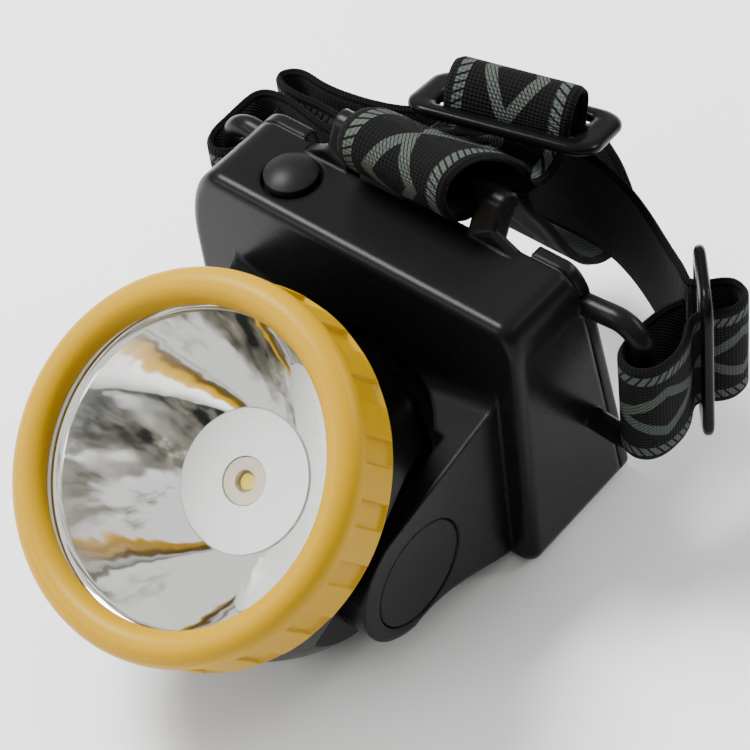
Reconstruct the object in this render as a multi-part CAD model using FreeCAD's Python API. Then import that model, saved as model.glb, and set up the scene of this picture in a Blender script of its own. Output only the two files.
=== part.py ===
"""Cap lamp for helmets: tilting lamp head on a battery housing with a strap harness.

Units are millimetres.  Everything is first modelled about the lamp head's pivot:
+X is towards the wearer's left along the pivot, -Y is forwards and +Z is up.
At the end the whole lamp is moved so that it stands on z = 0 over the middle of
its footprint.
"""
import FreeCAD, Part
import math
import os

from FreeCAD import Vector as V

os.makedirs("parts", exist_ok=True)

# ---------------------------------------------------------------- driving sizes
HEAD_TILT = 53.7            # lens axis above the forward direction, degrees
LENS_AXIS_RISE = 0.6        # lens axis above the pivot, across the axis

RING_RADIUS = 35.3          # screw-on bezel
RING_BACK = 26.6            # distances along the lens axis, from the pivot
RING_FRONT = 41.6
RING_OPENING = 28.5
RING_BORE = 32.6
RIM_CENTRE = (RING_RADIUS + RING_OPENING) / 2
RIM_HALF = (RING_RADIUS - RING_OPENING) / 2

LENS_RADIUS = 31.6
LENS_BACK, LENS_FRONT = 36.0, 37.8
REFLECTOR_MOUTH = 29.6
REFLECTOR_FLOOR = 13.5      # radius of the flat floor of the reflector
FLOOR_AT, MOUTH_AT = 17.0, 35.2

SHELL_RADIUS = 32.2         # ball-shaped lamp shell behind the bezel
SHELL_CENTRE = 11.5         # ball's centre along the lens axis
SHELL_WALL = 1.8
COLLAR_RADIUS = 32.4        # threaded neck inside the bezel
FLAT_RADIUS = 22.8          # round flats that turn inside the arms

HALF_WIDTH = 36.8           # battery housing, middle to right side
LEFT_HALF_WIDTH = 42.6      # fuller left side, beside the charging socket
TOP, BOTTOM = 43.0, -22.8
FRONT_FACE = 25.4
BACK_AT_TOP = 46.4
BACK_SLOPE = 0.155          # the back leans to suit a forehead
SHOULDER = (4.3, 8.0)       # width and drop of the right shoulder
LEFT_SHOULDER = (9.4, 20.0)
WALL = 2.0
COVER_THICKNESS = 3.0
SEAL_THICKNESS = 0.5
EDGE_ROUND = 2.2

ARM_OUTER, ARM_INNER = 31.4, 26.0
ARM_END_RADIUS = 14.5
CRADLE_RADIUS = 34.0
ROOT_FILLET = 3.5           # where the saddle meets the front face
SADDLE_DROP = 8.6           # the saddle between the arms falls this much to the middle
CAP_RADIUS = 11.3
PIVOT_RADIUS = 2.0

NOTCH_HALF_WIDTH = 24.5     # recess for the crown strap in the top face
NOTCH_FRONT = 41.0
NOTCH_DEPTH = 5.0

BAR_RADIUS = 2.2
BAR_BEND = 5.5
SIDE_BAR = (49.3, 45.2)     # x, y of the right upright strap bar
LEFT_BAR_SHIFT = 1.2        # the left bar stands this much nearer the middle
STRAP_LOW, STRAP_HIGH = 6.5, 31.5
TOP_BAR = (46.6, 48.2)      # y, z of the crown strap bar
TOP_BAR_ARM = (14.2, 19.4)  # each arm, from the middle

STRAP_WIDTH = 25.0
STRAP_THICKNESS = 1.5

BUTTON_AT = (-21.8, 34.2)
BUTTON_RADIUS = 5.2
BUTTON_TRAVEL = 1.2

CELL_RADIUS, CELL_LENGTH = 6.6, 49.0
CELLS = ((42.8, -9.4), (42.4, 6.0))

SOCKET_AT = (35.0, 20.0)    # y, z of the charging socket in the left side
SOCKET_BORE, SOCKET_DEPTH = 1.75, 9.0

COVER_SCREWS = ((30.5, 30.0), (31.0, -14.0))
X, Y, Z = V(1, 0, 0), V(0, 1, 0), V(0, 0, 1)


# ---------------------------------------------------------------- small helpers
def cylinder(radius, start, end):
    """Round bar between two points."""
    start, end = V(*start), V(*end)
    return Part.makeCylinder(radius, (end - start).Length, start, end - start)


def box(low, high):
    return Part.makeBox(high[0] - low[0], high[1] - low[1], high[2] - low[2], V(*low))


def polygon_prism(points, direction):
    """Flat outline swept straight along a vector."""
    wire = Part.makePolygon([V(*p) for p in points] + [V(*points[0])])
    return Part.Face(wire).extrude(V(*direction))


def revolve(outline):
    """Turn a closed (radius, height) outline round the local Z axis."""
    wire = Part.makePolygon([V(r, 0, z) for r, z in outline + outline[:1]])
    return Part.Face(wire).revolve(V(0, 0, 0), Z, 360)


def tube(outer, inner, low, high):
    return revolve([(inner, low), (outer, low), (outer, high), (inner, high)])


def both_sides(shape):
    return [shape, shape.mirror(V(0, 0, 0), X)]


def group(shapes):
    return Part.makeCompound(shapes)


def on_head(shape):
    """Place a piece drawn along the lens axis (+Z) at the head's tilt."""
    shape = shape.copy()
    shape.translate(V(0, LENS_AXIS_RISE, 0))
    shape.rotate(V(0, 0, 0), X, 90 - HEAD_TILT)
    return shape


def back_plane(z, inset=0.0):
    """Y of the leaning back face at a height."""
    return BACK_AT_TOP + (TOP - z) * BACK_SLOPE - inset


def behind(inset):
    """Large solid behind the leaning back face."""
    low, high, far = BOTTOM - 40, TOP + 40, 140.0
    outline = [(-90, back_plane(low, inset), low), (-90, far, low),
               (-90, far, high), (-90, back_plane(high, inset), high)]
    return polygon_prism(outline, (180, 0, 0))


# ---------------------------------------------------------------- lamp head
def bezel_ring():
    """Hand-turned ring with a rounded front rim and a threaded bore."""
    rim = []
    for step in range(9):
        angle = math.radians(step * 22.5)
        rim.append((RIM_CENTRE + RIM_HALF * math.cos(angle), RING_FRONT - 3.4 + 3.4 * math.sin(angle)))
    outline = [(RING_BORE, RING_BACK), (34.2, RING_BACK), (RING_RADIUS, RING_BACK + 1.2)]
    outline += rim + [(RING_OPENING, LENS_FRONT + 0.1), (RING_BORE, LENS_FRONT + 0.1)]
    return revolve(outline)


def lens():
    return cylinder(LENS_RADIUS, (0, 0, LENS_BACK), (0, 0, LENS_FRONT))


def lens_gasket():
    return tube(31.6, REFLECTOR_MOUTH + 0.1, MOUTH_AT, LENS_BACK - 0.03)


def reflector_height(radius):
    """Parabola through the edge of the floor and the mouth."""
    span = REFLECTOR_MOUTH ** 2 - REFLECTOR_FLOOR ** 2
    return FLOOR_AT + (MOUTH_AT - FLOOR_AT) * (radius ** 2 - REFLECTOR_FLOOR ** 2) / span


def reflector():
    """Thin parabolic bowl with a flange under the lens gasket."""
    steps, skin = 10, 1.1
    radii = [REFLECTOR_FLOOR + (28.6 - REFLECTOR_FLOOR) * i / steps for i in range(steps + 1)]
    inside = [(r, reflector_height(r)) for r in radii]
    outside = [(r + skin, z - 0.5) for r, z in inside]
    flange = [(28.6, MOUTH_AT - 0.1), (31.4, MOUTH_AT - 0.1), (31.4, MOUTH_AT - 1.3),
              (30.3, MOUTH_AT - 1.3)]
    floor = [(4.6, FLOOR_AT - 1.2), (4.6, FLOOR_AT - 0.5), (REFLECTOR_FLOOR, FLOOR_AT - 0.5)]
    under = [(REFLECTOR_FLOOR + 1.0, FLOOR_AT - 1.2)]
    return revolve(floor + inside + flange + outside[::-1] + under)


def reflector_disc():
    return tube(13.3, 4.6, FLOOR_AT - 0.5, FLOOR_AT + 0.2)


def led_package():
    ring = tube(4.4, 2.1, FLOOR_AT - 2.2, FLOOR_AT - 0.1)
    base = cylinder(4.4, (0, 0, FLOOR_AT - 3.0), (0, 0, FLOOR_AT - 2.2))
    return ring.fuse(base).removeSplitter()


def led_chip():
    return cylinder(1.5, (0, 0, FLOOR_AT - 2.2), (0, 0, FLOOR_AT - 1.2))


def led_board():
    """Six-pointed metal-core board."""
    corners = []
    for step in range(12):
        radius = 10.0 if step % 2 == 0 else 8.2
        angle = math.radians(30 * step)
        corners.append((radius * math.cos(angle), radius * math.sin(angle), FLOOR_AT - 4.6))
    return polygon_prism(corners, (0, 0, 1.6))


def heat_sink():
    """Aluminium disc with a ring of short fins at its back."""
    top = FLOOR_AT - 4.6
    disc = cylinder(17.0, (0, 0, top - 2.4), (0, 0, top))
    for step in range(7):
        x = -12.0 + 4.0 * step
        half = math.sqrt(16.0 ** 2 - x ** 2)
        disc = disc.fuse(box((x - 0.8, -half, top - 8.0), (x + 0.8, half, top - 2.4)))
    return disc.removeSplitter()


def shell_solid(shrink, front):
    """Ball with a straight neck, as a solid out to the given surface."""
    radius = SHELL_RADIUS - shrink
    ball = Part.makeSphere(radius, V(0, 0, SHELL_CENTRE))
    return ball.fuse(cylinder(radius, (0, 0, SHELL_CENTRE), (0, 0, front))).removeSplitter()


def head_shell():
    """Lamp shell with a threaded neck, side flats and pivot bosses."""
    outer = shell_solid(0.0, RING_BACK - 0.6)
    outer = outer.fuse(cylinder(COLLAR_RADIUS, (0, 0, RING_BACK - 1.6), (0, 0, MOUTH_AT - 1.4)))
    inner = shell_solid(SHELL_WALL, RING_BACK - 2.0)
    shell = outer.cut(inner).cut(cylinder(30.6, (0, 0, SHELL_CENTRE), (0, 0, 60)))
    shell = on_head(shell)
    for side in (-1, 1):
        flat = cylinder(FLAT_RADIUS, (side * (ARM_INNER - 0.5), 0, 0), (side * 40, 0, 0))
        boss = cylinder(5.0, (side * 20.0, 0, 0), (side * (ARM_INNER - 0.5), 0, 0))
        disc = cylinder(FLAT_RADIUS + 1.4, (side * (ARM_INNER - 2.3), 0, 0),
                        (side * (ARM_INNER - 0.5), 0, 0))
        inside = on_head(shell_solid(0.4, RING_BACK - 2.0))
        bore = cylinder(PIVOT_RADIUS + 0.05, (side * 18, 0, 0), (side * 40, 0, 0))
        shell = shell.cut(flat).fuse(disc.common(inside)).fuse(boss).cut(bore)
    return shell.removeSplitter()


# ---------------------------------------------------------------- pivots
def pivot_screws():
    """Shoulder screws that pass the arms and turn in the shell's bosses."""
    shank = cylinder(PIVOT_RADIUS, (20.5, 0, 0), (29.4, 0, 0))
    head = cylinder(3.6, (29.4, 0, 0), (30.3, 0, 0))
    return group(both_sides(shank.fuse(head).removeSplitter()))


def friction_washers():
    ring = cylinder(6.0, (ARM_INNER - 0.46, 0, 0), (ARM_INNER - 0.04, 0, 0))
    ring = ring.cut(cylinder(2.3, (ARM_INNER - 2, 0, 0), (ARM_INNER + 1, 0, 0)))
    return group(both_sides(ring))


def arm_caps():
    """Round covers let into the outer faces of the arms."""
    cap = cylinder(CAP_RADIUS - 0.35, (29.9, 0, 0), (ARM_OUTER - 0.1, 0, 0))
    return group(both_sides(cap.cut(cylinder(4.2, (29, 0, 0), (30.5, 0, 0)))))


# ---------------------------------------------------------------- housing
def rounded_section(inset):
    """Front view of the housing, as one closed wire at y = 0."""
    half, top, low = HALF_WIDTH - inset, TOP - inset, BOTTOM + inset
    left = LEFT_HALF_WIDTH - inset
    (wide, drop), (left_wide, left_drop) = SHOULDER, LEFT_SHOULDER
    corner = 4.0 - inset / 2
    edges = []

    def quarter(centre, a, b, first, last):
        """Part of an ellipse with half axes a and b, as an interpolated curve."""
        points = []
        for step in range(7):
            angle = math.radians(first + (last - first) * step / 6.0)
            points.append(V(centre[0] + a * math.cos(angle), 0, centre[1] + b * math.sin(angle)))
        curve = Part.BSplineCurve()
        curve.interpolate(points)
        return curve.toShape()

    corners = [((half - wide, top - drop), wide, drop, 0, 90),
               ((-left + left_wide, top - left_drop), left_wide, left_drop, 90, 180),
               ((-left + corner, low + corner), corner, corner, 180, 270),
               ((half - corner, low + corner), corner, corner, 270, 360)]
    previous = None
    for centre, a, b, first, last in corners:
        arc = quarter(centre, a, b, first, last)
        if previous is not None:
            edges.append(Part.makeLine(previous, arc.Vertexes[0].Point))
        edges.append(arc)
        previous = arc.Vertexes[-1].Point
    edges.append(Part.makeLine(previous, edges[0].Vertexes[0].Point))
    return Part.Wire(edges)


def housing_block(inset, front):
    block = Part.Face(rounded_section(inset)).extrude(V(0, 80, 0))
    block.translate(V(0, front, 0))
    return block


def arm_side_view():
    """Outline of the pivot arms, seen from the side."""
    rise = 16.4
    nose = Part.Arc(V(0, -1.5, rise), V(0, -ARM_END_RADIUS - 0.7, 0.8), V(0, -3.0, -12.8)).toShape()
    under = Part.BSplineCurve()
    under.interpolate([V(0, -3.0, -12.8), V(0, 3.5, -12.4), V(0, 10.0, -14.0),
                       V(0, 20.0, -18.2), V(0, 30.0, -21.6)])
    close = Part.makePolygon([V(0, 30.0, -21.6), V(0, 30.0, 23.4), V(0, FRONT_FACE, 22.8),
                              V(0, -1.5, rise)])
    return Part.Wire([nose, under.toShape()] + close.Edges)


def arms_block():
    face = Part.Face(arm_side_view())
    block = face.extrude(V(2 * ARM_OUTER, 0, 0))
    block.translate(V(-ARM_OUTER, 0, 0))
    for side in (-1, 1):
        hollow = [(side * ARM_OUTER, -40.0, 7.2), (0, -40.0, 7.2 - SADDLE_DROP),
                  (0, -40.0, 60.0), (side * ARM_OUTER, -40.0, 60.0)]
        reach = FRONT_FACE + 40.0
        block = block.cut(polygon_prism(hollow, (0, reach, 0.238 * reach)))
    return block


def bent_bar(corners, bend, radius):
    """Round bar along straight runs joined by round bends."""
    points = [V(*p) for p in corners]
    edges = []
    start = points[0]
    for before, corner, after in zip(points, points[1:], points[2:]):
        back = (before - corner).normalize()
        ahead = (after - corner).normalize()
        half_angle = back.getAngle(ahead) / 2
        first = corner + back * (bend / math.tan(half_angle))
        last = corner + ahead * (bend / math.tan(half_angle))
        middle = corner + (back + ahead).normalize() * (bend / math.sin(half_angle) - bend)
        edges.append(Part.makeLine(start, first))
        edges.append(Part.Arc(first, middle, last).toShape())
        start = last
    edges.append(Part.makeLine(start, points[-1]))
    ring = Part.Circle(points[0], points[1] - points[0], radius)
    return Part.Wire(edges).makePipe(Part.Face(Part.Wire(ring.toShape())))


def side_bar(side, bar_x, extra):
    """Upright bar with two bent arms, for one end of the headband."""
    middle = (STRAP_LOW + STRAP_HIGH) / 2
    reach = STRAP_HIGH - middle + 4.2
    upper = [(bar_x - 15.9, reach - 1.4), (bar_x, reach + 0.1)]
    path = upper + [(x, -rise) for x, rise in upper[::-1]]
    corners = [(side * x, SIDE_BAR[1], middle + rise) for x, rise in path]
    return bent_bar(corners, BAR_BEND, BAR_RADIUS + extra)


def side_bars(extra=0.0):
    return [side_bar(1, SIDE_BAR[0], extra), side_bar(-1, SIDE_BAR[0] - LEFT_BAR_SHIFT, extra)]


def top_bar():
    """Bridge over the notch that carries the crown strap, on two flat hooked arms."""
    y, z = TOP_BAR
    near, far = TOP_BAR_ARM
    low, front = TOP - NOTCH_DEPTH - 0.1, NOTCH_FRONT - 0.1
    bridge = cylinder(BAR_RADIUS + 0.1, (-near - 1, y, z), (near + 1, y, z))
    hook = polygon_prism([(near, front, low), (near, front, low + 5.6), (near, y - 2.5, z + 1.0),
                          (near, y + 1.8, z - 1.9), (near, front + 3.2, low + 1.2),
                          (near, front + 3.2, low)], (far - near, 0, 0))
    end = cylinder(BAR_RADIUS + 0.5, (near, y, z), (far, y, z))
    foot = polygon_prism([(near, front, low), (NOTCH_HALF_WIDTH + 0.1, front, low),
                          (NOTCH_HALF_WIDTH + 0.1, front, TOP - 0.3), (far, front, TOP + 2.6),
                          (near, front, TOP + 0.4)], (0, 2.2, 0))
    arm = hook.fuse([end, foot])
    return bridge.fuse(both_sides(arm))


def notch():
    return box((-NOTCH_HALF_WIDTH, NOTCH_FRONT, TOP - NOTCH_DEPTH), (NOTCH_HALF_WIDTH, 80, TOP + 20))


def notch_lining():
    """Wall under and in front of the notch."""
    return box((-NOTCH_HALF_WIDTH - WALL, NOTCH_FRONT - WALL, TOP - NOTCH_DEPTH - WALL),
               (NOTCH_HALF_WIDTH + WALL, 80, TOP - 0.2))


def front_housing():
    body = housing_block(0.0, FRONT_FACE)
    front_edges = [e for e in body.Edges
                   if all(abs(v.Point.y - FRONT_FACE) < 1e-6 for v in e.Vertexes)
                   and abs(e.valueAt((e.FirstParameter + e.LastParameter) / 2).y - FRONT_FACE) < 1e-6]
    body = body.makeFillet(EDGE_ROUND, front_edges)
    body = body.fuse(arms_block())
    root = [e for e in body.Edges if e.Length > 20
            and all(abs(v.Point.y - FRONT_FACE) < 1e-3 and 12 < v.Point.z < 24 for v in e.Vertexes)]
    body = body.makeFillet(ROOT_FILLET, root)
    cradle = Part.makeSphere(CRADLE_RADIUS).common(box((-ARM_INNER, -60, -60), (ARM_INNER, 60, 60)))
    cradle = cradle.fuse(cylinder(FLAT_RADIUS + 2.0, (-ARM_INNER, 0, 0), (ARM_INNER, 0, 0)))
    cradle_wall = Part.makeSphere(CRADLE_RADIUS + WALL)
    cavity = housing_block(WALL, FRONT_FACE + WALL).cut(cradle_wall)
    cavity = cavity.cut(notch_lining())
    body = body.cut(cavity).cut(cradle).cut(notch())
    for x, z in COVER_SCREWS:
        for side in (-1, 1):
            post = cylinder(3.0, (side * x, FRONT_FACE + 1.0, z), (side * x, 70, z))
            body = body.fuse(post.common(housing_block(0.5, FRONT_FACE)))
    body = body.cut(behind(COVER_THICKNESS + SEAL_THICKNESS))
    bars = side_bars() + [top_bar()]
    body = body.multiFuse([bar.cut(cavity) for bar in bars])
    for x, z in COVER_SCREWS:
        for side in (-1, 1):
            body = body.cut(cylinder(1.1, (side * x, 38.5, z), (side * x, 70, z)))
    for side in (-1, 1):
        body = body.cut(cylinder(CAP_RADIUS, (side * 29.9, 0, 0), (side * 40, 0, 0)))
        body = body.cut(cylinder(3.7, (side * 29.38, 0, 0), (side * 40, 0, 0)))
        body = body.cut(cylinder(PIVOT_RADIUS, (side * 20, 0, 0), (side * 40, 0, 0)))
    x, y = BUTTON_AT
    body = body.cut(cylinder(BUTTON_RADIUS + 0.6, (x, y, TOP - 1.4), (x, y, TOP + 5)))
    body = body.cut(cylinder(3.2, (x, y, TOP - 6), (x, y, TOP + 5)))
    y, z = SOCKET_AT
    body = body.cut(cylinder(4.4, (-LEFT_HALF_WIDTH - 2, y, z), (-LEFT_HALF_WIDTH + 6, y, z)))
    return body.removeSplitter()


def back_cover():
    """Leaning cover plate with a locating rim inside the housing."""
    plate = housing_block(0.0, FRONT_FACE).common(behind(COVER_THICKNESS - 0.05)).cut(behind(0.0))
    back_edges = [e for e in plate.Edges if e.Length > 8 and all(
        abs(v.Point.y - back_plane(v.Point.z)) < 0.05 for v in e.Vertexes)]
    plate = plate.makeFillet(1.2, back_edges)
    rim = housing_block(WALL + 0.15, FRONT_FACE).cut(housing_block(WALL + 1.5, FRONT_FACE - 5))
    rim = rim.common(behind(COVER_THICKNESS + 2.4)).cut(behind(COVER_THICKNESS - 0.5))
    plate = plate.fuse(rim).cut(notch_lining_gap())
    for x, z in COVER_SCREWS:
        for side in (-1, 1):
            inner = back_plane(z, COVER_THICKNESS)
            plate = plate.cut(cylinder(3.4, (side * x, 30, z), (side * x, inner, z)))
            plate = plate.cut(cylinder(1.5, (side * x, 40, z), (side * x, 70, z)))
            plate = plate.cut(cylinder(2.9, (side * x, back_plane(z, 1.4), z), (side * x, 70, z)))
    for bar in side_bars(0.15):
        plate = plate.cut(bar)
    return plate.removeSplitter()


def notch_lining_gap():
    """Room in the cover for the notch and its lining."""
    low = notch_lining().BoundBox
    return box((low.XMin - 0.1, 20, low.ZMin - 0.1), (low.XMax + 0.1, 80, TOP + 20))


def cover_screws():
    """Four countersunk self-tapping screws in the back cover."""
    screws = []
    for x, z in COVER_SCREWS:
        back = back_plane(z)
        shank = cylinder(1.1, (x, back - 9.0, z), (x, back - 1.4, z))
        head = cylinder(2.6, (x, back - 1.4, z), (x, back - 0.5, z))
        screws += both_sides(shank.fuse(head).removeSplitter())
    return group(screws)


def battery_cells():
    cells = []
    for y, z in CELLS:
        half = CELL_LENGTH / 2
        cell = cylinder(CELL_RADIUS, (-half, y, z), (half - 1.5, y, z))
        cells.append(cell.fuse(cylinder(2.4, (half - 1.5, y, z), (half, y, z))).removeSplitter())
    return group(cells)


def battery_tabs():
    """Nickel strips that join the two cells at both ends."""
    strips = []
    (y1, z1), (y2, z2) = CELLS
    for end in (-CELL_LENGTH / 2 - 0.3, CELL_LENGTH / 2 + 0.05):
        strips.append(box((end, min(y1, y2) - 2.2, z1 - 2.5), (end + 0.25, max(y1, y2) + 2.2, z2 + 2.5)))
    return group(strips)


def battery_tray():
    """Tray of four ribs that carries the cells against the cover."""
    tray = box((-24, 32.5, -17.6), (24, 51.0, 13.6))
    for y, z in CELLS:
        tray = tray.cut(cylinder(CELL_RADIUS + 0.2, (-40, y, z), (40, y, z)))
        tray = tray.cut(box((-40, y, z - CELL_RADIUS - 0.2), (40, 60, z + CELL_RADIUS + 0.2)))
    tray = tray.cut(Part.makeSphere(CRADLE_RADIUS + WALL + 0.3)).cut(behind(COVER_THICKNESS + 2.4))
    spans = ((-21.5, -12.5), (-10.0, 10.0), (12.5, 21.5))
    slots = [box((low, 20, -40), (high, 60, 40)) for low, high in spans]
    for slot in slots:
        tray = tray.cut(slot.cut(box((-40, 20, -1.9 - 1.4), (40, 60, -1.9 + 1.4))))
    return tray.removeSplitter()


def control_board():
    """Charge and dimming board, upright behind the cells' top."""
    board = box((-18.0, 33.0, 15.6), (22.0, 44.0, 17.2))
    return board


def board_parts():
    """Charge controller, inductor, two terminals and a driver on the board."""
    top = 17.25
    chips = [box((-8, 36, top), (-2, 41, top + 1.6)), cylinder(3.0, (6, 38.5, top), (6, 38.5, top + 3.0)),
             box((13, 35, top), (17, 39, top + 1.4)), box((-16.5, 34.5, top), (-13.5, 37.5, top + 2.5)),
             box((-16.5, 39.5, top), (-13.5, 42.5, top + 2.5))]
    return group(chips)


def switch_body():
    """Latching push switch under the rubber button."""
    x, y = BUTTON_AT
    body = box((x - 3.5, y - 3.5, 28.6), (x + 3.5, y + 3.5, 34.0))
    return body.fuse(cylinder(1.5, (x, y, 34.0), (x, y, 35.4))).removeSplitter()


def switch_board():
    """Small board on two posts that carries the switch."""
    x, y = BUTTON_AT
    return box((x - 5.0, y - 4.5, 27.0), (x + 8.0, y + 5.0, 28.55))


def button():
    """Domed rubber button with a stem through the top wall."""
    x, y = BUTTON_AT
    skirt = cylinder(BUTTON_RADIUS, (x, y, TOP + BUTTON_TRAVEL - 1.35), (x, y, TOP + 1.2))
    sphere_radius = 9.6
    centre = V(x, y, TOP + 2.7 - sphere_radius)
    dome = Part.makeSphere(sphere_radius, centre).common(
        cylinder(BUTTON_RADIUS, (x, y, TOP + 1.1), (x, y, TOP + 5)))
    stem = cylinder(2.9, (x, y, 36.8), (x, y, TOP + 1.0))
    return skirt.fuse([dome, stem]).removeSplitter()


def charge_socket():
    """Round low-voltage charging socket in the left side."""
    y, z = SOCKET_AT
    outer = -LEFT_HALF_WIDTH + 0.6
    body = cylinder(4.3, (outer, y, z), (outer + SOCKET_DEPTH + 2.0, y, z))
    body = body.cut(cylinder(SOCKET_BORE, (outer - 1, y, z), (outer + SOCKET_DEPTH, y, z)))
    return body


def lead_wires():
    """Housing ends of the two leads that come from the lamp head."""
    leads = []
    for x in (-3.0, 3.0):
        leads.append(cylinder(0.7, (x, 34.6, 24.0), (x, 34.6, 17.4)))
    return group(leads)


def cover_seal():
    """Rubber seal between housing and cover, in three strips: the upper bar arms and the notch part it."""
    outer = housing_block(0.3, FRONT_FACE).cut(housing_block(1.7, FRONT_FACE - 5))
    strip = outer.common(behind(COVER_THICKNESS + SEAL_THICKNESS - 0.03)).cut(behind(COVER_THICKNESS + 0.03))
    return strip.cut([notch_lining_gap()] + side_bars(0.15))


# ---------------------------------------------------------------- strap harness
def ribbon(points, count):
    """Webbing through points (x, y, z, yaw); yaw turns the level width direction.

    A yaw of None stands the webbing on edge, with its width upright.
    """
    places = [V(*p[:3]) for p in points]
    curve = Part.BSplineCurve()
    curve.interpolate(places)
    first, last = curve.FirstParameter, curve.LastParameter
    knots = [curve.parameter(p) for p in places]
    sections = []
    for index in range(count + 1):
        at = first + (last - first) * index / count
        centre, tangent = curve.value(at), V(*curve.tangent(at)[0])
        if points[0][3] is None:
            width = V(0, 0, 1)
        else:
            piece = max(i for i in range(len(knots) - 1) if knots[i] <= at + 1e-9)
            share = (at - knots[piece]) / (knots[piece + 1] - knots[piece])
            yaw = math.radians(points[piece][3] * (1 - share) + points[piece + 1][3] * share)
            width = V(math.cos(yaw), math.sin(yaw), 0)
        normal = tangent.cross(width)
        normal.normalize()
        width = normal.cross(tangent)
        half, thick = width * (STRAP_WIDTH / 2), normal * (STRAP_THICKNESS / 2)
        corners = [centre - half - thick, centre + half - thick,
                   centre + half + thick, centre - half + thick]
        sections.append(Part.makePolygon(corners + corners[:1]))
    return Part.makeLoft(sections, True, True)


STRAP_MIDDLE = (STRAP_LOW + STRAP_HIGH) / 2
# Plan of the headband: looped on the left bar, folded behind the housing, then
# through the crown strap's loop, the right buckle and round the right bar.
HEADBAND = [(-45.2, 55.0), (-44.2, 50.0), (-44.3, 44.4), (-45.6, 41.2), (-48.6, 39.9), (-51.2, 41.8),
            (-52.1, 46.4), (-52.3, 52.0), (-51.4, 56.8), (-47.2, 58.4), (-38.0, 57.2), (-26.0, 56.0),
            (-19.5, 56.2), (-17.6, 58.2), (-19.5, 60.2), (-27.0, 60.4), (-40.0, 60.8), (-48.6, 60.9),
            (-51.4, 62.6), (-50.0, 65.0), (-44.0, 65.6), (-35.5, 66.0), (-25.5, 68.8), (-16.5, 74.0),
            (-8.0, 78.0), (2.0, 78.7), (13.0, 78.6), (24.0, 75.6), (33.0, 71.0), (40.0, 66.9),
            (44.3, 64.3), (46.8, 63.0), (48.8, 63.8), (50.6, 65.6), (53.2, 67.3), (56.0, 66.6),
            (57.2, 64.0), (56.4, 61.0), (54.2, 58.8), (52.6, 57.2), (52.3, 55.2), (53.5, 52.4),
            (54.7, 48.6), (54.6, 44.6), (53.0, 41.2), (50.2, 40.0), (47.4, 41.2), (46.0, 44.6),
            (46.1, 50.0), (47.0, 55.0), (48.6, 58.4)]
# Crown strap: from under the crown buckle round the top bar and back, over the
# buckle's middle bar, and down in a loop that holds the headband.
CROWN_BUCKLE = (6.0, 65.8, 48.6)
CROWN_YAW, CROWN_LEAN = 13.5, -20.0
CROWN_STRAP = [(5.0, 64.4, 43.2, 11), (4.4, 62.0, 42.6, 9), (2.4, 56.0, 42.2, 5), (1.0, 50.8, 43.2, 2),
               (0.4, 46.8, 43.9, 0), (0.3, 43.0, 44.4, 0), (0.3, 40.0, 47.0, 0), (0.3, 38.2, 50.6, 0),
               (0.3, 37.8, 54.0, 0), (0.4, 39.4, 56.8, 0), (0.8, 42.8, 57.4, 1), (1.8, 47.4, 55.4, 4),
               (3.6, 52.4, 50.8, 8), (5.2, 56.4, 47.2, 12), (6.2, 59.6, 46.2, 13), (6.8, 61.6, 48.0, 13.5),
               (6.7, 62.6, 51.2, 13.5), (6.4, 64.4, 54.4, 13.5), (5.8, 67.4, 56.0, 13.5),
               (5.3, 70.0, 54.4, 13.5), (5.1, 70.4, 51.4, 13.5), (5.2, 69.4, 47.6, 13.5),
               (5.1, 69.6, 44.6, 13), (4.4, 72.6, 42.2, 12), (3.4, 76.8, 38.2, 9),
               (2.4, 81.2, 31.8, 5), (1.8, 85.5, 24.0, 2), (1.5, 88.6, 16.6, 0), (1.5, 90.2, 9.6, 0),
               (1.5, 89.4, 3.8, 0), (1.5, 86.0, 1.0, 0), (1.5, 80.8, 1.2, 0), (1.5, 75.2, 4.9, 0),
               (1.5, 70.6, 11.6, 0), (1.5, 66.4, 20.4, 0), (1.5, 62.4, 28.0, 0),
               (1.5, 59.4, 34.2, 0), (1.5, 58.4, 37.6, 0)]


def headband():
    return ribbon([(x, y, STRAP_MIDDLE, None) for x, y in HEADBAND], 260)


def crown_strap():
    return ribbon(CROWN_STRAP, 190)


BUCKLE_LENGTH, BUCKLE_WIDTH, BUCKLE_THICKNESS = 38.4, 18.4, 2.4
SLOT_LENGTH, SLOT_WIDTH, SLOT_AT = 27.0, 3.8, 3.7


def buckle():
    """Three-bar slider, lying flat with its bars along X."""
    half, wide, thick = BUCKLE_LENGTH / 2, BUCKLE_WIDTH / 2, BUCKLE_THICKNESS / 2
    plate = box((-half, -wide, -thick), (half, wide, thick))
    corners = [e for e in plate.Edges if abs(e.tangentAt(0).z) > 0.9]
    plate = plate.makeFillet(5.0, corners)
    for side in (-1, 1):
        middle = side * SLOT_AT
        plate = plate.cut(box((-SLOT_LENGTH / 2, middle - SLOT_WIDTH / 2, -5),
                              (SLOT_LENGTH / 2, middle + SLOT_WIDTH / 2, 5)))
    return plate


def crown_buckle():
    shape = buckle()
    shape.rotate(V(0, 0, 0), X, CROWN_LEAN)
    shape.rotate(V(0, 0, 0), Z, CROWN_YAW)
    shape.translate(V(*CROWN_BUCKLE))
    return shape


SIDE_BUCKLE = (51.0, 61.0, STRAP_MIDDLE)
SIDE_BUCKLE_YAW = -49.5


def side_buckle():
    """The headband's slider, standing on end beside the right bar."""
    shape = buckle()
    shape.rotate(V(0, 0, 0), Y, 90)
    shape.rotate(V(0, 0, 0), Z, SIDE_BUCKLE_YAW - 90)
    shape.translate(V(*SIDE_BUCKLE))
    return shape


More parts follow.
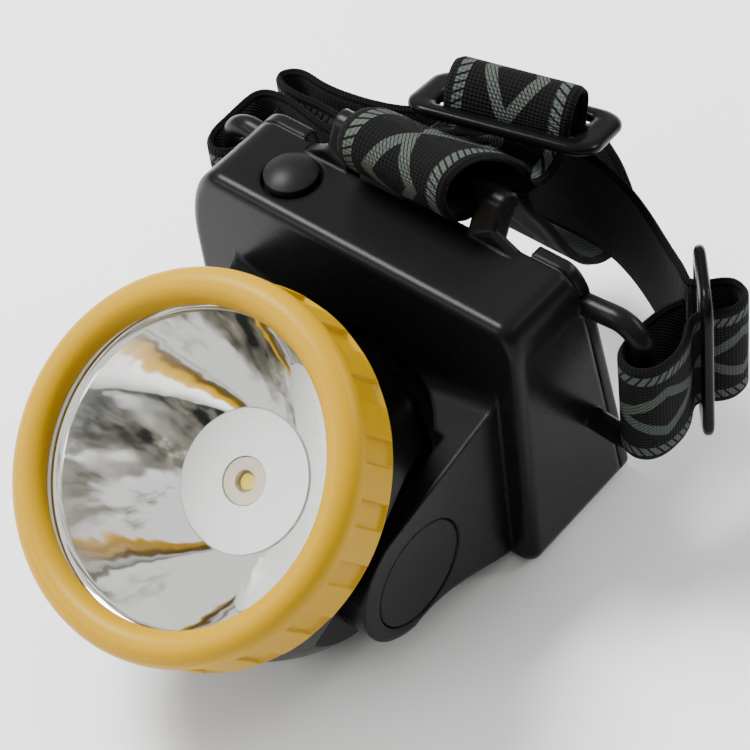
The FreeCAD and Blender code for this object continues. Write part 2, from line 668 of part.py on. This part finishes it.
# ---------------------------------------------------------------- all the pieces
HEAD_PIECES = {
    "bezel_ring": bezel_ring, "lens": lens, "lens_gasket": lens_gasket, "reflector": reflector,
    "reflector_disc": reflector_disc, "led_package": led_package, "led_chip": led_chip,
    "led_board": led_board, "heat_sink": heat_sink}
OTHER_PIECES = {
    "head_shell": head_shell, "pivot_screws": pivot_screws, "friction_washers": friction_washers,
    "arm_caps": arm_caps, "front_housing": front_housing, "back_cover": back_cover,
    "cover_seal": cover_seal, "cover_screws": cover_screws, "battery_cells": battery_cells,
    "battery_tabs": battery_tabs, "battery_tray": battery_tray, "control_board": control_board,
    "board_parts": board_parts, "switch_board": switch_board, "switch_body": switch_body,
    "button": button, "charge_socket": charge_socket, "lead_wires": lead_wires,
    "headband": headband, "crown_strap": crown_strap, "crown_buckle": crown_buckle,
    "side_buckle": side_buckle}

pieces = {name: on_head(make()) for name, make in HEAD_PIECES.items()}
pieces.update({name: make() for name, make in OTHER_PIECES.items()})
extent = group(list(pieces.values())).optimalBoundingBox(True, False)
to_table = V(-extent.Center.x, -extent.Center.y, -extent.ZMin)
for name, shape in pieces.items():
    shape.translate(to_table)
    shape.exportStep("parts/%s.step" % name)
print("moved by", to_table.x, to_table.y, to_table.z)
print("size", extent.XLength, extent.YLength, extent.ZLength)
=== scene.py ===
"""Looks of the cap lamp: camera, light, materials and the pieces that replace plain CAD ones.

Lengths in the tables are millimetres about the lamp head's pivot, as in the CAD;
pt() turns them into metres on the table.
"""
import math

import bmesh
import bpy
import numpy as np
from mathutils import Matrix, Vector

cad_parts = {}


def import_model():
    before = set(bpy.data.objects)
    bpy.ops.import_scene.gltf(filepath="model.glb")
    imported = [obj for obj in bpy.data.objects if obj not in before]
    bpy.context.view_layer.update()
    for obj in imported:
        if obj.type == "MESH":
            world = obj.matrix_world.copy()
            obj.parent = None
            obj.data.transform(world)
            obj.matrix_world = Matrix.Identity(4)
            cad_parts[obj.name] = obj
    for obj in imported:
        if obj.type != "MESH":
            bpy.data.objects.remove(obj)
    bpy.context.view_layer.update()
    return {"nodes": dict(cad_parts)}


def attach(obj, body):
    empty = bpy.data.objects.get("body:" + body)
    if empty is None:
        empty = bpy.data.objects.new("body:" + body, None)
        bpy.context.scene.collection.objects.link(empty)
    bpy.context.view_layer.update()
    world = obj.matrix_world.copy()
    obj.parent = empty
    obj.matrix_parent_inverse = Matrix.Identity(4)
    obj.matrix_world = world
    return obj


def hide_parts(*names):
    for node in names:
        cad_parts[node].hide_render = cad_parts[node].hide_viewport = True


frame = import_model()

PIVOT = Vector((-2.4378, -19.9221, 22.8000))
HEAD_TILT = 53.7
LENS_AXIS_RISE = 0.6
TURN = math.radians(90 - HEAD_TILT)


def pt(x, y, z):
    """Millimetres about the pivot to metres in the row frame."""
    return (Vector((x, y, z)) + PIVOT) * 0.001


def head_pt(x, y, z):
    """A point drawn along the lens axis (+Z), placed at the head's tilt."""
    y += LENS_AXIS_RISE
    return pt(x, y * math.cos(TURN) - z * math.sin(TURN), y * math.sin(TURN) + z * math.cos(TURN))


# ---------------------------------------------------------------- materials
def material(name, color, rough, metallic=0.0, **more):
    mat = bpy.data.materials.new(name)
    mat.use_nodes = True
    shader = mat.node_tree.nodes["Principled BSDF"]
    shader.inputs["Base Color"].default_value = (*color, 1)
    shader.inputs["Roughness"].default_value = rough
    shader.inputs["Metallic"].default_value = metallic
    for key, value in more.items():
        shader.inputs[key.replace("_", " ")].default_value = value
    return mat


class Graph:
    """Short spellings for building a material's nodes."""

    def __init__(self, mat):
        self.tree = mat.node_tree
        self.shader = self.tree.nodes.get("Principled BSDF")

    def node(self, kind, **settings):
        made = self.tree.nodes.new("ShaderNode" + kind)
        for key, value in settings.items():
            setattr(made, key, value)
        return made

    def link(self, source, target):
        self.tree.links.new(source, target)

    def feed(self, target, value):
        if isinstance(value, (int, float, tuple)):
            target.default_value = value
        else:
            self.link(value, target)

    def math(self, operation, a, b=0.0, c=0.0):
        made = self.node("Math", operation=operation)
        for socket, value in zip(made.inputs, (a, b, c)):
            self.feed(socket, value)
        return made.outputs[0]

    def mix(self, factor, a, b):
        made = self.node("Mix", data_type="RGBA")
        self.feed(made.inputs["Factor"], factor)
        self.feed(made.inputs["A"], a)
        self.feed(made.inputs["B"], b)
        return made.outputs["Result"]

    def noise(self, scale, detail=2.0, vector=None, rough=0.5):
        made = self.node("TexNoise")
        made.inputs["Scale"].default_value = scale
        made.inputs["Detail"].default_value = detail
        made.inputs["Roughness"].default_value = rough
        if vector is not None:
            self.link(vector, made.inputs["Vector"])
        return made.outputs["Fac"]

    def place(self):
        return self.node("NewGeometry").outputs["Position"]

    def ramp(self, value, stops):
        made = self.node("ValToRGB")
        ramp = made.color_ramp
        for index, (at, color) in enumerate(stops):
            stop = ramp.elements[index] if index < 2 else ramp.elements.new(at)
            stop.position = at
            stop.color = (*color, 1)
        self.link(value, made.inputs["Fac"])
        return made.outputs["Color"]

    def bump(self, height, strength, distance, normal=None):
        made = self.node("Bump")
        made.inputs["Strength"].default_value = strength
        made.inputs["Distance"].default_value = distance
        self.link(height, made.inputs["Height"])
        if normal is not None:
            self.link(normal, made.inputs["Normal"])
        self.link(made.outputs["Normal"], self.shader.inputs["Normal"])

    def bevel(self, radius):
        made = self.node("Bevel", samples=6)
        made.inputs["Radius"].default_value = radius
        return made.outputs["Normal"]


def black_plastic(name, color, rough, edge, gloss=0.085):
    """Moulded plastic with soft edges and a very slight texture."""
    mat = material(name, color, rough, Specular_IOR_Level=gloss)
    g = Graph(mat)
    here = g.node("TexCoord").outputs["Object"]
    g.bump(g.noise(900.0, 2.0, here), 0.06, 0.0001, g.bevel(edge))
    wear = g.noise(60.0, 4.0, here)
    g.link(g.math("MULTIPLY_ADD", wear, 0.10, rough - 0.05), g.shader.inputs["Roughness"])
    return mat


HOUSING = black_plastic("housing_black", (0.0055, 0.0055, 0.006), 0.27, 0.0011)
SHELL = black_plastic("shell_black", (0.003, 0.003, 0.0034), 0.30, 0.0006, 0.10)
BUCKLE = black_plastic("buckle_black", (0.003, 0.003, 0.0034), 0.22, 0.0003, 0.07)
RUBBER = black_plastic("button_rubber", (0.008, 0.008, 0.0085), 0.42, 0.0005, 0.1)
STEEL = material("steel", (0.55, 0.55, 0.56), 0.3, 1.0)
YELLOW = material("ring_yellow", (0.43, 0.240, 0.0), 0.40, Specular_IOR_Level=0.14)
GASKET = material("white_gasket", (0.78, 0.78, 0.76), 0.5)
PACKAGE = material("led_package", (0.72, 0.66, 0.50), 0.35)
PHOSPHOR = material("phosphor", (0.88, 0.66, 0.05), 0.5)
BOARD = material("board_green", (0.02, 0.14, 0.05), 0.4)
CELL = material("cell_wrap", (0.03, 0.12, 0.3), 0.35)
TRAY = material("tray_plastic", (0.12, 0.12, 0.13), 0.5)
CHIP = material("chip_plastic", (0.02, 0.02, 0.02), 0.45)
WIRE = material("wire_red", (0.4, 0.02, 0.02), 0.4)
LENS = material("lens_clear", (1, 1, 1), 0.02, 0.0, Transmission_Weight=1.0, IOR=1.08)


def yellow_finish():
    g = Graph(YELLOW)
    here = g.node("TexCoord").outputs["Object"]
    g.bump(g.noise(1400.0, 2.0, here), 0.08, 0.0001, g.bevel(0.0003))


def reflector_finish():
    """Vapour-coated bowl: a bright mirror with uneven, streaky brightness."""
    mat = material("reflector_mirror", (0.96, 0.96, 0.94), 0.05, 1.0)
    g = Graph(mat)
    here = g.node("TexCoord").outputs["Object"]
    g.bump(g.noise(55.0, 3.0, here), 0.35, 0.0006)
    return mat


def disc_finish():
    mat = material("reflector_disc", (0.84, 0.86, 0.84), 0.5, 0.5)
    g = Graph(mat)
    here = g.node("TexCoord").outputs["Object"]
    g.bump(g.noise(1500.0, 3.0, here), 0.5, 0.0003)
    return mat


yellow_finish()
MIRROR = reflector_finish()
DISC = disc_finish()


def webbing():
    """Woven elastic: U runs across (0 to 1, reverse side 2 to 3) and V along, in widths."""
    mat = material("webbing", (0.004, 0.004, 0.004), 0.9, Specular_IOR_Level=0.12)
    g = Graph(mat)
    uv = g.node("SeparateXYZ")
    g.link(g.node("UVMap", uv_map="weave").outputs["UV"], uv.inputs[0])
    across_raw, along = uv.outputs[0], uv.outputs[1]
    reverse = g.math("GREATER_THAN", across_raw, 1.5)
    across = g.math("SUBTRACT", across_raw, g.math("MULTIPLY", reverse, 2.0))
    off = g.math("ABSOLUTE", g.math("SUBTRACT", across, 0.5))

    def saw(value, count):
        part = g.math("FRACT", g.math("MULTIPLY", value, count))
        return g.math("MULTIPLY", g.math("ABSOLUTE", g.math("SUBTRACT", part, 0.5)), 2.0)

    def band(value, low, high):
        return g.math("MULTIPLY", g.math("GREATER_THAN", value, low), g.math("LESS_THAN", value, high))

    chevron = saw(g.math("ADD", g.math("MULTIPLY", off, 9.0), g.math("MULTIPLY", along, 16.0)), 1.0)
    stripe = g.math("MULTIPLY", band(off, 0.345, 0.43), g.math("GREATER_THAN", chevron, 0.28))
    # generic woven figure: a chain of outlined diamonds
    step = saw(along, 1.15)
    diamond = g.math("ADD", g.math("MULTIPLY", off, 3.3), g.math("MULTIPLY", step, 0.85))
    figure = g.math("MULTIPLY", band(diamond, 0.52, 0.86), g.math("LESS_THAN", off, 0.26))
    thread = saw(g.math("ADD", g.math("MULTIPLY", across, 30.0), g.math("MULTIPLY", along, 26.0)), 1.0)
    figure = g.math("MULTIPLY", figure, g.math("GREATER_THAN", thread, 0.22))
    lit = g.math("MAXIMUM", stripe, figure)
    back = g.math("MULTIPLY", g.math("GREATER_THAN", thread, 0.55), band(off, -0.1, 0.44))
    lit = g.math("ADD", g.math("MULTIPLY", lit, g.math("SUBTRACT", 1.0, reverse)),
                 g.math("MULTIPLY", g.math("MULTIPLY", back, reverse), 0.75))
    color = g.mix(lit, (0.0035, 0.0035, 0.004, 1), (0.058, 0.070, 0.060, 1))
    g.link(color, g.shader.inputs["Base Color"])
    ribs = g.math("MULTIPLY", saw(along, 38.0), 1.0)
    warp = g.math("MULTIPLY", saw(across, 32.0), 0.8)
    height = g.math("ADD", g.math("ADD", ribs, warp), g.math("MULTIPLY", lit, 0.9))
    g.bump(height, 0.55, 0.00035)
    return mat


WEBBING = webbing()


# ---------------------------------------------------------------- mesh helpers
def make(name, verts, faces, mat, body, replaces=(), smooth=True):
    mesh = bpy.data.meshes.new(name)
    mesh.from_pydata([tuple(v) for v in verts], [], faces)
    mesh.validate()
    mesh.materials.append(mat)
    for poly in mesh.polygons:
        poly.use_smooth = smooth
    obj = bpy.data.objects.new(name, mesh)
    bpy.context.scene.collection.objects.link(obj)
    bm = bmesh.new()
    bm.from_mesh(mesh)
    bmesh.ops.recalc_face_normals(bm, faces=bm.faces)
    bm.to_mesh(mesh)
    bm.free()
    mesh.set_sharp_from_angle(angle=math.radians(35))
    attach(obj, body)
    if replaces:
        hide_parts(*replaces)
    return obj


def ring_mesh(rows, segments):
    """Faces joining closed rows of vertices, each row one loop of points."""
    faces = []
    for i in range(len(rows) - 1):
        for j in range(segments):
            k = (j + 1) % segments
            this, following = i * segments, (i + 1) * segments
            faces.append((this + j, this + k, following + k, following + j))
    return faces


def lathe(profile, segments, radius_at=None, close=True):
    """Verts and faces of a profile (r, z) turned round the lens axis."""
    verts = []
    for index, (r, z) in enumerate(profile):
        for j in range(segments):
            a = 2 * math.pi * j / segments
            radius = radius_at(r, z, a, index) if radius_at else r
            verts.append(head_pt(radius * math.cos(a), radius * math.sin(a), z))
    faces = ring_mesh(profile, segments)
    if close:
        last = (len(profile) - 1) * segments
        for j in range(segments):
            k = (j + 1) % segments
            faces.append((last + j, last + k, k, j))
    return verts, faces


# ---------------------------------------------------------------- bezel ring
GRIPS = 20
GRIP_SHARE = 0.58           # raised part of each grip's pitch
GRIP_DEPTH = 0.85           # depth of the recessed part, mm
GRIP_SLOPE = 0.3            # how far a raised facet falls along its length, as a share of the depth


def bezel():
    """Ring with a broad rounded rim and shallow ratchet-like grip facets."""
    rim_r, rim_z, round_r, round_z = 31.9, 38.2, 3.38, 3.4
    profile = [(32.65, 37.95), (28.7, 37.95), (28.54, 38.05)]
    for step in range(0, 15):
        a = math.radians(180 - step * 180 / 14.0)
        profile.append((rim_r + round_r * math.cos(a), rim_z + round_z * math.sin(a)))
    side_start = len(profile)
    for z in (37.4, 36.6, 35.6, 34.4, 33.0, 31.5, 30.0, 28.9, 28.3, 27.9, 27.5):
        profile.append((35.28, z))
    side_end = len(profile)
    profile += [(35.0, 27.0), (34.2, 26.72), (33.5, 26.62), (32.65, 26.62)]

    def radius_at(r, z, angle, index):
        if not side_start <= index < side_end:
            return r
        phase = (angle / (2 * math.pi) * GRIPS) % 1.0
        raised = 1.0 - GRIP_SLOPE * phase / GRIP_SHARE if phase < GRIP_SHARE else 0.0
        edge = min(1.0, max(0.0, (37.4 - z) / 0.8)) * min(1.0, max(0.0, (z - 27.4) / 1.0))
        return r - GRIP_DEPTH * (1.0 - raised) * edge

    verts, faces = lathe(profile, 720, radius_at)
    return make("bezel_grip_ring", verts, faces, YELLOW, "bezel", ["bezel_ring"])


def reflector_bowl():
    """Smooth parabolic bowl, its back offset by the skin's thickness."""
    floor_r, mouth_r, floor_z, mouth_z, skin = 13.5, 29.6, 17.0, 35.2, 0.9
    rise = (mouth_z - floor_z) / (mouth_r ** 2 - floor_r ** 2)
    inner = []
    for step in range(49):
        r = floor_r + (28.6 - floor_r) * step / 48.0
        inner.append((r, floor_z + rise * (r * r - floor_r ** 2)))
    front = [(4.6, floor_z - 0.5), (13.4, floor_z - 0.5)] + inner
    flange = [(28.9, 34.6), (29.6, 35.05), (31.3, 35.1), (31.3, 34.0), (30.3, 33.95)]
    back = [(r + skin, z - 0.6) for r, z in inner[::-1]] + [(13.5, floor_z - 1.2), (4.6, floor_z - 1.2)]
    verts, faces = lathe(front + flange + back, 256)
    return make("reflector_bowl", verts, faces, MIRROR, "lamp", ["reflector"])


bezel()
reflector_bowl()

# ---------------------------------------------------------------- straps
STRAP_WIDTH, STRAP_THICKNESS = 25.0, 1.5
STRAP_MIDDLE = 19.0
HEADBAND = [(-45.2, 55.0), (-44.2, 50.0), (-44.3, 44.4), (-45.6, 41.2), (-48.6, 39.9), (-51.2, 41.8),
            (-52.1, 46.4), (-52.3, 52.0), (-51.4, 56.8), (-47.2, 58.4), (-38.0, 57.2), (-26.0, 56.0),
            (-19.5, 56.2), (-17.6, 58.2), (-19.5, 60.2), (-27.0, 60.4), (-40.0, 60.8), (-48.6, 60.9),
            (-51.4, 62.6), (-50.0, 65.0), (-44.0, 65.6), (-35.5, 66.0), (-25.5, 68.8), (-16.5, 74.0),
            (-8.0, 78.0), (2.0, 78.7), (13.0, 78.6), (24.0, 75.6), (33.0, 71.0), (40.0, 66.9),
            (44.3, 64.3), (46.8, 63.0), (48.8, 63.8), (50.6, 65.6), (53.2, 67.3), (56.0, 66.6),
            (57.2, 64.0), (56.4, 61.0), (54.2, 58.8), (52.6, 57.2), (52.3, 55.2), (53.5, 52.4),
            (54.7, 48.6), (54.6, 44.6), (53.0, 41.2), (50.2, 40.0), (47.4, 41.2), (46.0, 44.6),
            (46.1, 50.0), (47.0, 55.0), (48.6, 58.4)]
CROWN_STRAP = [(5.0, 64.4, 43.2, 11), (4.4, 62.0, 42.6, 9), (2.4, 56.0, 42.2, 5), (1.0, 50.8, 43.2, 2),
               (0.4, 46.8, 43.9, 0), (0.3, 43.0, 44.4, 0), (0.3, 40.0, 47.0, 0), (0.3, 38.2, 50.6, 0),
               (0.3, 37.8, 54.0, 0), (0.4, 39.4, 56.8, 0), (0.8, 42.8, 57.4, 1), (1.8, 47.4, 55.4, 4),
               (3.6, 52.4, 50.8, 8), (5.2, 56.4, 47.2, 12), (6.2, 59.6, 46.2, 13), (6.8, 61.6, 48.0, 13.5),
               (6.7, 62.6, 51.2, 13.5), (6.4, 64.4, 54.4, 13.5), (5.8, 67.4, 56.0, 13.5),
               (5.3, 70.0, 54.4, 13.5), (5.1, 70.4, 51.4, 13.5), (5.2, 69.4, 47.6, 13.5),
               (5.1, 69.6, 44.6, 13), (4.4, 72.6, 42.2, 12), (3.4, 76.8, 38.2, 9),
               (2.4, 81.2, 31.8, 5), (1.8, 85.5, 24.0, 2), (1.5, 88.6, 16.6, 0), (1.5, 90.2, 9.6, 0),
               (1.5, 89.4, 3.8, 0), (1.5, 86.0, 1.0, 0), (1.5, 80.8, 1.2, 0), (1.5, 75.2, 4.9, 0),
               (1.5, 70.6, 11.6, 0), (1.5, 66.4, 20.4, 0), (1.5, 62.4, 28.0, 0),
               (1.5, 59.4, 34.2, 0), (1.5, 58.4, 37.6, 0)]


def natural_spline(values, places, at):
    """Natural cubic through values at places, read at points."""
    n = len(places)
    gap = np.diff(places)
    matrix = np.eye(n)
    right = np.zeros((n, values.shape[1]))
    for i in range(1, n - 1):
        matrix[i, i - 1], matrix[i, i], matrix[i, i + 1] = gap[i - 1], 2 * (gap[i - 1] + gap[i]), gap[i]
        right[i] = 6 * ((values[i + 1] - values[i]) / gap[i] - (values[i] - values[i - 1]) / gap[i - 1])
    second = np.linalg.solve(matrix, right)
    index = np.clip(np.searchsorted(places, at, side="right") - 1, 0, n - 2)
    h = gap[index][:, None]
    a = ((places[index + 1] - at)[:, None]) / h
    b = 1 - a
    bend = ((a ** 3 - a) * second[index] + (b ** 3 - b) * second[index + 1]) * h * h / 6
    return a * values[index] + b * values[index + 1] + bend


def strap(name, points, node):
    """Webbing with soft selvedges through points (x, y, z, yaw); points given as (x, y) alone stand it on
    edge, at STRAP_MIDDLE height.
    """
    upright = len(points[0]) == 2
    if upright:
        points = [(x, y, STRAP_MIDDLE, 0) for x, y in points]
    raw = np.array(points, float)
    places = np.concatenate([[0], np.cumsum(np.linalg.norm(np.diff(raw[:, :3], axis=0), axis=1))])
    fine = natural_spline(raw, places, np.linspace(0, places[-1], 3000))
    run = np.concatenate([[0], np.cumsum(np.linalg.norm(np.diff(fine[:, :3], axis=0), axis=1))])
    length = run[-1]
    steps = int(length / 0.55)
    at = np.linspace(0, length, steps + 1)
    line = np.stack([np.interp(at, run, fine[:, k]) for k in range(4)], 1)
    centre = line[:, :3]
    tangent = np.gradient(centre, axis=0)
    tangent /= np.linalg.norm(tangent, axis=1)[:, None]
    if upright:
        width = np.tile([0.0, 0.0, 1.0], (steps + 1, 1))
    else:
        yaw = np.radians(line[:, 3])
        width = np.stack([np.cos(yaw), np.sin(yaw), 0 * yaw], 1)
    normal = np.cross(tangent, width)
    normal /= np.linalg.norm(normal, axis=1)[:, None]
    width = np.cross(normal, tangent)
    columns = 24
    half, thick = STRAP_WIDTH / 2, STRAP_THICKNESS / 2
    section = []
    for i in range(columns + 1):
        u = i / columns
        fall = max(0.0, abs(u - 0.5) * 2 - 0.9) / 0.1
        section.append((-half + STRAP_WIDTH * u, thick * math.sqrt(max(0.06, 1 - fall ** 2 * 0.94)), u))
    loop = [(x, t, 2 + u) for x, t, u in section] + [(x, -t, u) for x, t, u in section[::-1]]
    count = len(loop)
    verts = []
    for c, w, n in zip(centre, width, normal):
        for x, t, _ in loop:
            p = c + w * x + n * t
            verts.append(pt(*p))
    faces, coords = [], []
    for i in range(steps):
        for j in range(count):
            k = (j + 1) % count
            faces.append((i * count + j, i * count + k, (i + 1) * count + k, (i + 1) * count + j))
            uj, uk = loop[j][2], loop[k][2]
            if abs(uj - uk) > 1:
                uj = uk = min(uj, uk)
            v0, v1 = at[i] / STRAP_WIDTH, at[i + 1] / STRAP_WIDTH
            coords += [(uj, v0), (uk, v0), (uk, v1), (uj, v1)]
    caps = [tuple(range(count)), tuple(steps * count + j for j in range(count))]
    for cap in caps:
        faces.append(cap)
        coords += [(0.02, 0.0)] * count
    mesh = bpy.data.meshes.new(name)
    mesh.from_pydata([tuple(v) for v in verts], [], faces)
    layer = mesh.uv_layers.new(name="weave")
    for loop_data, uv in zip(layer.data, coords):
        loop_data.uv = uv
    mesh.materials.append(WEBBING)
    for poly in mesh.polygons:
        poly.use_smooth = len(poly.vertices) == 4
    obj = bpy.data.objects.new(name, mesh)
    bpy.context.scene.collection.objects.link(obj)
    bm = bmesh.new()
    bm.from_mesh(mesh)
    bmesh.ops.recalc_face_normals(bm, faces=bm.faces)
    bm.to_mesh(mesh)
    bm.free()
    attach(obj, "housing")
    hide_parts(node)
    return obj


strap("headband_webbing", HEADBAND, "headband")
strap("crown_webbing", CROWN_STRAP, "crown_strap")

# ---------------------------------------------------------------- sliding buckles
def rounded_rectangle(half_x, half_y, radius, side_steps=14, corner_steps=10):
    """Closed outline, anticlockwise; equal step counts pair two outlines point by point."""
    points = []
    for turn, (sx, sy) in enumerate(((1, 1), (-1, 1), (-1, -1), (1, -1))):
        cx, cy = sx * (half_x - radius), sy * (half_y - radius)
        for step in range(corner_steps + 1):
            a = math.radians(90 * turn + 90 * step / corner_steps)
            points.append((cx + radius * math.cos(a), cy + radius * math.sin(a)))
        nx, ny = ((-1, 1), (-1, -1), (1, -1), (1, 1))[turn]
        trim_x, trim_y = (radius, 0.0) if turn % 2 == 0 else (0.0, radius)
        end = (nx * (half_x - trim_x), ny * (half_y - trim_y))
        x, y = points[-1]
        for step in range(1, side_steps):
            share = step / side_steps
            points.append((x + (end[0] - x) * share, y + (end[1] - y) * share))
    return points


def buckle(name, node, place, turn):
    """Plump three-bar slider: a rounded frame and a middle bar through its ends."""
    around, thick = 20, 1.19
    outer, inner = rounded_rectangle(19.15, 9.15, 5.0), rounded_rectangle(13.5, 5.6, 1.3)
    section = []
    for k in range(around):
        a = 2 * math.pi * k / around
        section.append([math.copysign(abs(f(a)) ** 0.75, f(a)) for f in (math.cos, math.sin)])
    verts, faces = [], []
    for (ox, oy), (ix, iy) in zip(outer, inner):
        for s, t in section:
            share = (1 + s) / 2
            verts.append(Vector((ix + (ox - ix) * share, iy + (oy - iy) * share, thick * t)))
    count = len(outer)
    for i in range(count):
        for k in range(around):
            a, b = i * around, (i + 1) % count * around
            n = (k + 1) % around
            faces.append((a + k, a + n, b + n, b + k))
    base = len(verts)
    for x in (-14.6, 14.6):
        for s, t in section:
            verts.append(Vector((x, 1.75 * s, 0.98 * thick * t)))
    for k in range(around):
        n = (k + 1) % around
        faces.append((base + k, base + n, base + around + n, base + around + k))
    faces += [tuple(range(base, base + around)), tuple(range(base + around, base + 2 * around))]
    placed = [pt(*(turn @ v + Vector(place))) for v in verts]
    return make(name, placed, faces, BUCKLE, "housing", [node])


buckle("crown_slider", "crown_buckle", (6.0, 65.8, 48.6),
       Matrix.Rotation(math.radians(13.5), 3, "Z") @ Matrix.Rotation(math.radians(-20.0), 3, "X"))
buckle("side_slider", "side_buckle", (51.0, 61.0, STRAP_MIDDLE),
       Matrix.Rotation(math.radians(-139.5), 3, "Z") @ Matrix.Rotation(math.radians(90.0), 3, "Y"))

# ---------------------------------------------------------------- finishes of the CAD pieces
FINISH = {
    "front_housing": HOUSING, "back_cover": HOUSING, "arm_caps": HOUSING, "cover_seal": CHIP,
    "cover_screws": STEEL, "pivot_screws": STEEL, "friction_washers": CHIP, "head_shell": SHELL,
    "lens": LENS, "lens_gasket": GASKET, "reflector_disc": DISC, "led_package": PACKAGE,
    "led_chip": PHOSPHOR, "led_board": STEEL, "heat_sink": STEEL, "battery_cells": CELL,
    "battery_tabs": STEEL, "battery_tray": TRAY, "control_board": BOARD, "board_parts": CHIP,
    "switch_board": BOARD, "switch_body": CHIP, "charge_socket": CHIP, "lead_wires": WIRE,
    "button": RUBBER,
}
for node_name, mat in FINISH.items():
    obj = frame["nodes"][node_name]
    obj.data.materials.clear()
    obj.data.materials.append(mat)

# ---------------------------------------------------------------- stage, light and camera
CAMERA_PLACE = (242.66, -206.18, 392.05)
CAMERA_HEADING, CAMERA_DIP, CAMERA_ROLL = -46.189, 48.736, -8.715   # degrees; heading 0 looks along +Y
CAMERA_LENS, CAMERA_SENSOR = 130.1, 36.0


def camera():
    """Long lens, high in front of the lamp's +X side and rolled a little."""
    data = bpy.data.cameras.new("view")
    data.sensor_width = CAMERA_SENSOR
    data.lens = CAMERA_LENS
    cam = bpy.data.objects.new("view", data)
    heading = Matrix.Rotation(math.radians(-CAMERA_HEADING), 4, "Z")
    pitch = Matrix.Rotation(math.radians(90 - CAMERA_DIP), 4, "X")
    roll = Matrix.Rotation(math.radians(CAMERA_ROLL), 4, "Z")
    cam.matrix_world = Matrix.Translation(pt(*CAMERA_PLACE)) @ heading @ pitch @ roll
    bpy.context.scene.collection.objects.link(cam)
    bpy.context.scene.camera = cam


def floor():
    verts = [(-4, -4, 0), (4, -4, 0), (4, 4, 0), (-4, 4, 0)]
    mesh = bpy.data.meshes.new("floor")
    mesh.from_pydata(verts, [], [(0, 1, 2, 3)])
    mesh.materials.append(material("floor_pale", (0.95, 0.95, 0.95), 0.8))
    obj = bpy.data.objects.new("floor", mesh)
    obj.location.z = -0.0002
    bpy.context.scene.collection.objects.link(obj)


def area(name, place, aim, size, power, color=(1, 1, 1)):
    data = bpy.data.lights.new(name, "AREA")
    data.shape = "RECTANGLE"
    data.size, data.size_y = size
    data.energy = power
    data.color = color
    lamp = bpy.data.objects.new(name, data)
    lamp.location = place
    lamp.rotation_euler = (Vector(aim) - Vector(place)).to_track_quat("-Z", "Y").to_euler()
    bpy.context.scene.collection.objects.link(lamp)


def world(strength):
    """Bright overhead sky above a broken dark skyline, which the reflector picks up."""
    made = bpy.data.worlds.new("studio")
    made.use_nodes = True
    g = Graph(made)
    way = g.node("TexCoord").outputs["Generated"]
    part = g.node("SeparateXYZ")
    g.link(way, part.inputs[0])
    level = g.math("MULTIPLY_ADD", part.outputs[2], 0.42, g.noise(3.4, 5.0, way, 0.62))
    level = g.math("MULTIPLY_ADD", part.outputs[0], -0.16, level)
    dark, haze, white = (0.012, 0.014, 0.011), (0.30, 0.28, 0.23), (1.0, 1.0, 1.0)
    sky = g.ramp(level, [(0.44, dark), (0.60, haze), (0.74, white)])
    back = made.node_tree.nodes["Background"]
    g.link(sky, back.inputs["Color"])
    back.inputs["Strength"].default_value = strength
    bpy.context.scene.world = made


camera()
floor()
world(0.95)
area("key", (-0.5, -0.05, 0.9), (0, 0, 0.03), (0.36, 0.36), 22.0)
area("fill", (-0.55, -0.7, 0.45), (0, 0, 0.03), (0.5, 0.3), 4.0)
area("back_rim", (0.4, 0.7, 0.5), (0, 0, 0.03), (0.5, 0.2), 5.0)
